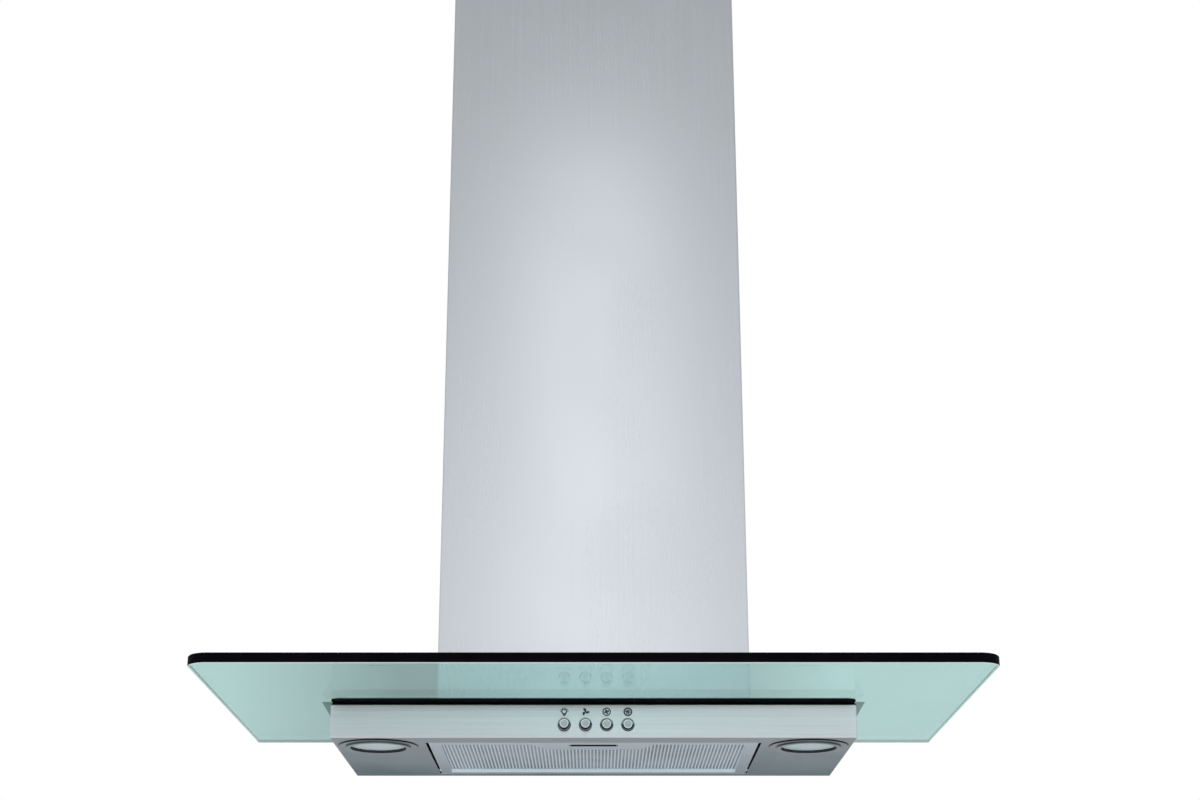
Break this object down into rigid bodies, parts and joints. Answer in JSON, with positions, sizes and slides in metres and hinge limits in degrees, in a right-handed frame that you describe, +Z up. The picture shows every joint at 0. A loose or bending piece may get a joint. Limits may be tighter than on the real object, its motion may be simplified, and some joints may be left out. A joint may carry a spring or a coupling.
{
  "type": "wall mount range hood",
  "caption": "Wall-mounted range hood with a flat tinted glass canopy, slim steel body, push buttons, lamps, hinged grease filter and telescopic chimney.",
  "frame": {"origin": "centre of the four wall holes in the back of the blower box, on the wall plane", "axes": "+Z up, +Y into the wall, +X to the right of someone who faces the hood"},
  "size_m": [0.898, 0.5, 1.0934],
  "materials": {
    "steel": "fine brushed stainless steel",
    "galvanised": "zinc-coated sheet",
    "screw_steel": "zinc-plated",
    "tinted_glass": "toughened, blue-green tint, polished edge",
    "lens_glass": "frosted",
    "rubber": "matte",
    "black_plastic": "fine grain",
    "grey_plastic": "fine grain",
    "white_plastic": "smooth",
    "ring_metal": "satin",
    "aluminium": "satin mill finish",
    "button_metal": "turned satin",
    "motor_metal": "semi-matte"
  },
  "bodies": {
    "hood": {"body_shell": "steel", "cable_gland": "black_plastic", "capacitor": "white_plastic", "clamp_screws": "screw_steel", "fan_motor": "motor_metal", "filter_brackets": "galvanised", "flap_pin": "screw_steel", "glass_canopy": "tinted_glass", "glass_clamps": "galvanised", "glass_gasket": "rubber", "lamp_bulb_left": "white_plastic", "lamp_bulb_right": "white_plastic", "lamp_cup_left": "aluminium", "lamp_cup_right": "aluminium", "lamp_lens_left": "lens_glass", "lamp_lens_right": "lens_glass", "lamp_ring_left": "ring_metal", "lamp_ring_right": "ring_metal", "lamp_transformer": "black_plastic", "lower_chimney": "steel", "motor_box": "galvanised", "motor_mount": "galvanised", "outlet_collar": "black_plastic", "plate_screws": "screw_steel", "scroll_left": "grey_plastic", "scroll_right": "grey_plastic", "support_lip_left": "steel", "support_lip_right": "steel", "switch_block": "black_plastic", "terminal_box": "grey_plastic", "top_plate": "galvanised"},
    "fan_wheel": {"impeller": "black_plastic", "motor_shaft": "screw_steel"},
    "upper_cover": {"upper_chimney": "steel", "ceiling_bracket": "galvanised", "chimney_screws": "screw_steel"},
    "grease_filter": {"filter_frame": "aluminium", "filter_ribs": "aluminium", "filter_mesh": "aluminium"},
    "latch": {"filter_latch": "grey_plastic"},
    "rear_flap": {"flap_rear": "aluminium"},
    "front_flap": {"flap_front": "aluminium"},
    "light_button": {"button_1": "button_metal"},
    "low_button": {"button_2": "button_metal"},
    "middle_button": {"button_3": "button_metal"},
    "high_button": {"button_4": "button_metal"}
  },
  "joints": [
    {"name": "fan_spin", "type": "hinge", "parent": "hood", "child": "fan_wheel", "pos_m": [0, -0.0864, -0.0684], "axis": [1, 0, 0], "continuous": true},
    {"name": "chimney_slide", "type": "slide", "parent": "hood", "child": "upper_cover", "axis": [0, 0, 1], "range_m": [0, 0.35]},
    {"name": "filter_hinge", "type": "hinge", "parent": "hood", "child": "grease_filter", "pos_m": [0, -0.024, -0.219], "axis": [1, 0, 0], "range_deg": [0, 80]},
    {"name": "latch_slide", "type": "slide", "parent": "grease_filter", "child": "latch", "axis": [0, 1, 0], "range_m": [0, 0.006], "stiffness_N_per_m": 300, "springref_m": -0.003},
    {"name": "rear_flap_hinge", "type": "hinge", "parent": "hood", "child": "rear_flap", "pos_m": [0, -0.1364, 0.1186], "axis": [1, 0, 0], "range_deg": [0, 75]},
    {"name": "front_flap_hinge", "type": "hinge", "parent": "hood", "child": "front_flap", "pos_m": [0, -0.1364, 0.1186], "axis": [-1, 0, 0], "range_deg": [0, 75]},
    {"name": "light_button_push", "type": "slide", "parent": "hood", "child": "light_button", "axis": [0, 1, 0], "range_m": [0, 0.004], "stiffness_N_per_m": 300, "springref_m": -0.002},
    {"name": "low_button_push", "type": "slide", "parent": "hood", "child": "low_button", "axis": [0, 1, 0], "range_m": [0, 0.004], "stiffness_N_per_m": 300, "springref_m": -0.002},
    {"name": "middle_button_push", "type": "slide", "parent": "hood", "child": "middle_button", "axis": [0, 1, 0], "range_m": [-0.004, 0.001], "stiffness_N_per_m": 300},
    {"name": "high_button_push", "type": "slide", "parent": "hood", "child": "high_button", "axis": [0, 1, 0], "range_m": [-0.004, 0.001], "stiffness_N_per_m": 300}
  ]
}
